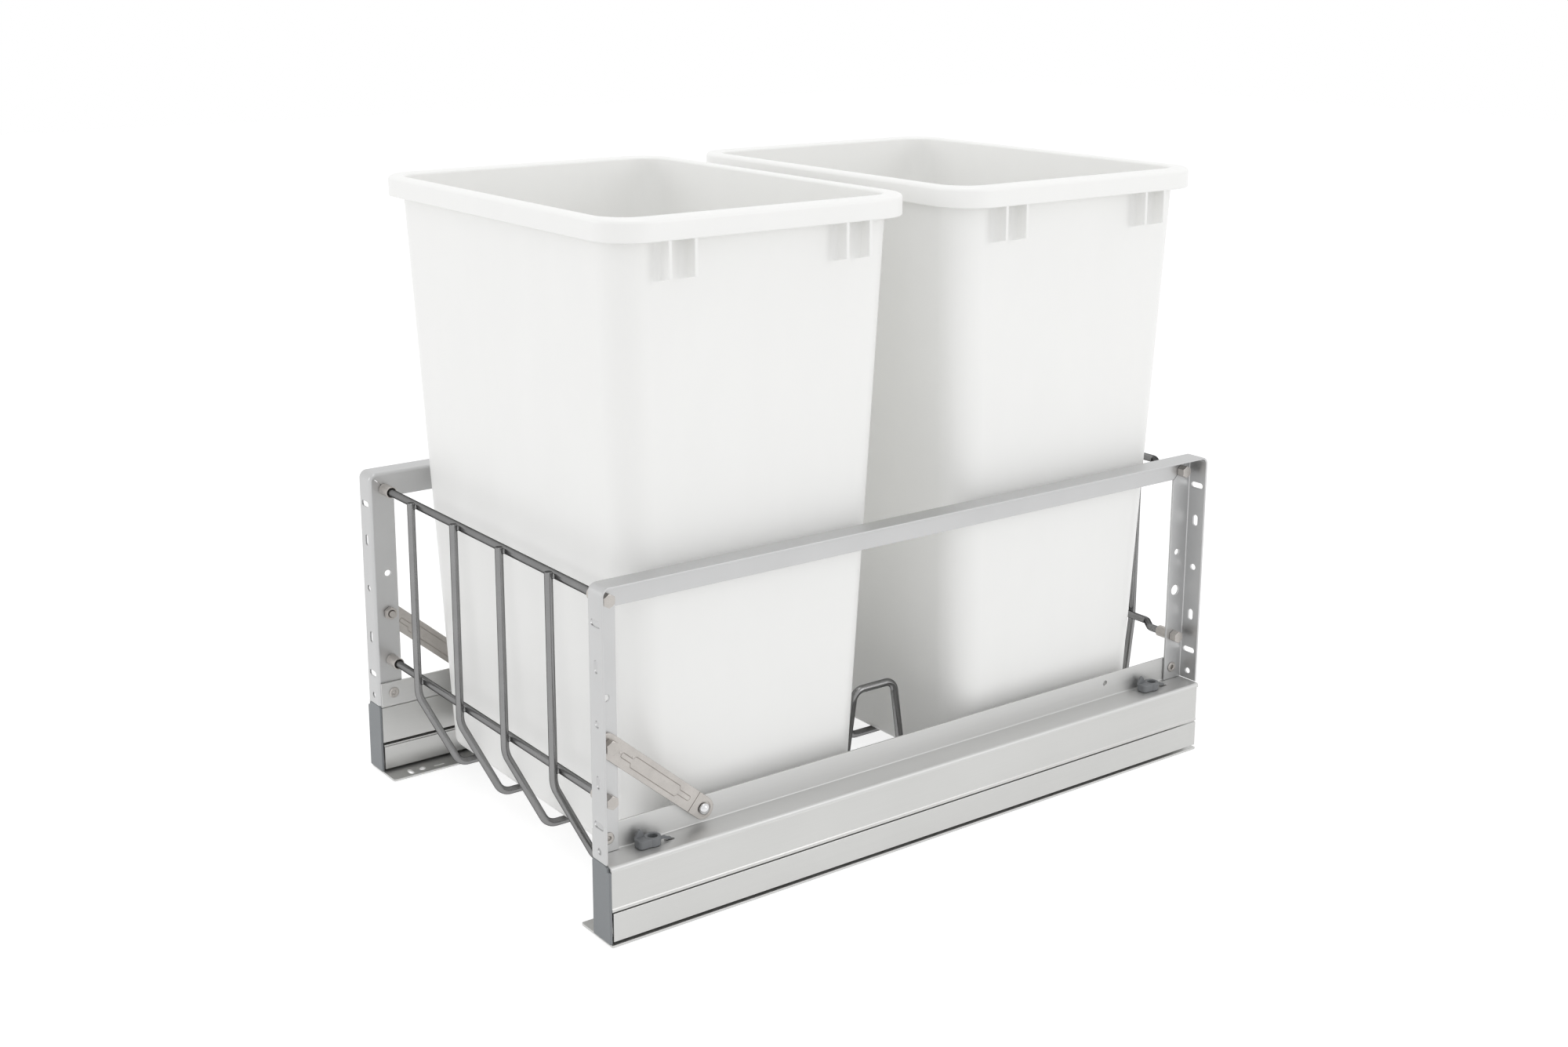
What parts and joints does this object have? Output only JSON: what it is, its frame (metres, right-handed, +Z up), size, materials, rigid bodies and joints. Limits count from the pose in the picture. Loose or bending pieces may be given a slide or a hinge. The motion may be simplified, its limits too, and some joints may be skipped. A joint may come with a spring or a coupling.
{
  "type": "pull-out waste bin unit",
  "caption": "Bottom-mounted pull-out waste unit: tall tapered bins in a wire cradle, hung between aluminium side frames that ride on full-extension ball slides inside a cabinet.",
  "frame": {"origin": "middle of the outer box's bottom face: on the cabinet floor, midway between the slides", "axes": "+Z up, -Y the front, the way the unit pulls out, +X the user's right"},
  "size_m": [0.364, 0.567, 0.473],
  "materials": {
    "frame_aluminium": "satin anodised",
    "slide_metal": "brushed along its length",
    "nickel": "satin nickel plate",
    "dark_wire": "dark pewter lacquer over steel wire",
    "cap_plastic": "fine grain",
    "lever_plastic": "fine grain",
    "bin_plastic": "white, slightly glossy rim, fine grain walls",
    "ball_steel": "oiled"
  },
  "bodies": {
    "base": {"right_foot_rail": "slide_metal", "left_foot_rail": "slide_metal"},
    "right_lower_cage": {"right_lower_ball_cage": "ball_steel"},
    "right_middle": {"right_middle_member": "slide_metal"},
    "right_upper_cage": {"right_upper_ball_cage": "ball_steel"},
    "left_lower_cage": {"left_lower_ball_cage": "ball_steel"},
    "left_middle": {"left_middle_member": "slide_metal"},
    "left_upper_cage": {"left_upper_ball_cage": "ball_steel"},
    "frame": {"right_top_member": "slide_metal", "right_end_cap": "cap_plastic", "right_soft_close_damper": "lever_plastic", "right_base_rail": "frame_aluminium", "right_side_frame": "frame_aluminium", "right_brace": "nickel", "right_brace_bolt": "nickel", "right_brace_nut": "nickel", "right_brace_rivet": "nickel", "right_front_post_rivet": "nickel", "right_rear_post_rivet": "nickel", "right_front_top_collar": "nickel", "right_front_lower_collar": "nickel", "right_rear_top_collar": "nickel", "right_rear_lower_collar": "nickel", "right_front_top_bolt": "nickel", "right_front_lower_bolt": "nickel", "right_rear_top_bolt": "nickel", "right_rear_lower_bolt": "nickel", "left_top_member": "slide_metal", "left_end_cap": "cap_plastic", "left_soft_close_damper": "lever_plastic", "left_base_rail": "frame_aluminium", "left_side_frame": "frame_aluminium", "left_brace": "nickel", "left_brace_bolt": "nickel", "left_brace_nut": "nickel", "left_brace_rivet": "nickel", "left_front_post_rivet": "nickel", "left_rear_post_rivet": "nickel", "left_front_top_collar": "nickel", "left_front_lower_collar": "nickel", "left_rear_top_collar": "nickel", "left_rear_lower_collar": "nickel", "left_front_top_bolt": "nickel", "left_front_lower_bolt": "nickel", "left_rear_top_bolt": "nickel", "left_rear_lower_bolt": "nickel", "front_top_bar": "dark_wire", "front_lower_bar": "dark_wire", "rear_top_bar": "dark_wire", "rear_lower_bar": "dark_wire", "long_wire_1": "dark_wire", "long_wire_2": "dark_wire", "long_wire_3": "dark_wire", "long_wire_4": "dark_wire"},
    "front_bin": {"front_bin": "bin_plastic"},
    "rear_bin": {"rear_bin": "bin_plastic"},
    "right_front_lever": {"right_front_release_lever": "lever_plastic"},
    "right_rear_lever": {"right_rear_release_lever": "lever_plastic"},
    "left_front_lever": {"left_front_release_lever": "lever_plastic"},
    "left_rear_lever": {"left_rear_release_lever": "lever_plastic"}
  },
  "joints": [
    {"name": "frame_pull", "type": "slide", "parent": "base", "child": "frame", "axis": [0, -1, 0], "range_m": [0, 0.53]},
    {"name": "right_middle_slide", "type": "slide", "parent": "base", "child": "right_middle", "axis": [0, -1, 0], "range_m": [0, 0.265]},
    {"name": "left_middle_slide", "type": "slide", "parent": "base", "child": "left_middle", "axis": [0, -1, 0], "range_m": [0, 0.265]},
    {"name": "right_lower_cage_slide", "type": "slide", "parent": "base", "child": "right_lower_cage", "axis": [0, -1, 0], "range_m": [0, 0.1325]},
    {"name": "left_lower_cage_slide", "type": "slide", "parent": "base", "child": "left_lower_cage", "axis": [0, -1, 0], "range_m": [0, 0.1325]},
    {"name": "right_upper_cage_slide", "type": "slide", "parent": "base", "child": "right_upper_cage", "axis": [0, -1, 0], "range_m": [0, 0.3975]},
    {"name": "left_upper_cage_slide", "type": "slide", "parent": "base", "child": "left_upper_cage", "axis": [0, -1, 0], "range_m": [0, 0.3975]},
    {"name": "front_bin_lift", "type": "slide", "parent": "frame", "child": "front_bin", "axis": [0, 0, 1], "range_m": [0, 0.5]},
    {"name": "rear_bin_lift", "type": "slide", "parent": "frame", "child": "rear_bin", "axis": [0, 0, 1], "range_m": [0, 0.5]},
    {"name": "right_front_lever_turn", "type": "hinge", "parent": "frame", "child": "right_front_lever", "pos_m": [0.168, -0.2415, 0.061], "axis": [0, 0, 1], "range_deg": [0, 25], "stiffness_Nm_per_rad": 0.1},
    {"name": "right_rear_lever_turn", "type": "hinge", "parent": "frame", "child": "right_rear_lever", "pos_m": [0.168, 0.2345, 0.061], "axis": [0, 0, 1], "range_deg": [0, 25], "stiffness_Nm_per_rad": 0.1},
    {"name": "left_front_lever_turn", "type": "hinge", "parent": "frame", "child": "left_front_lever", "pos_m": [-0.168, -0.2415, 0.061], "axis": [0, 0, -1], "range_deg": [0, 25], "stiffness_Nm_per_rad": 0.1},
    {"name": "left_rear_lever_turn", "type": "hinge", "parent": "frame", "child": "left_rear_lever", "pos_m": [-0.168, 0.2345, 0.061], "axis": [0, 0, -1], "range_deg": [0, 25], "stiffness_Nm_per_rad": 0.1}
  ],
  "couplings": [
    {"joint": "right_middle_slide", "follows": "frame_pull", "ratio": 0.5},
    {"joint": "left_middle_slide", "follows": "frame_pull", "ratio": 0.5},
    {"joint": "right_lower_cage_slide", "follows": "frame_pull", "ratio": 0.25},
    {"joint": "left_lower_cage_slide", "follows": "frame_pull", "ratio": 0.25},
    {"joint": "right_upper_cage_slide", "follows": "frame_pull", "ratio": 0.75},
    {"joint": "left_upper_cage_slide", "follows": "frame_pull", "ratio": 0.75}
  ]
}
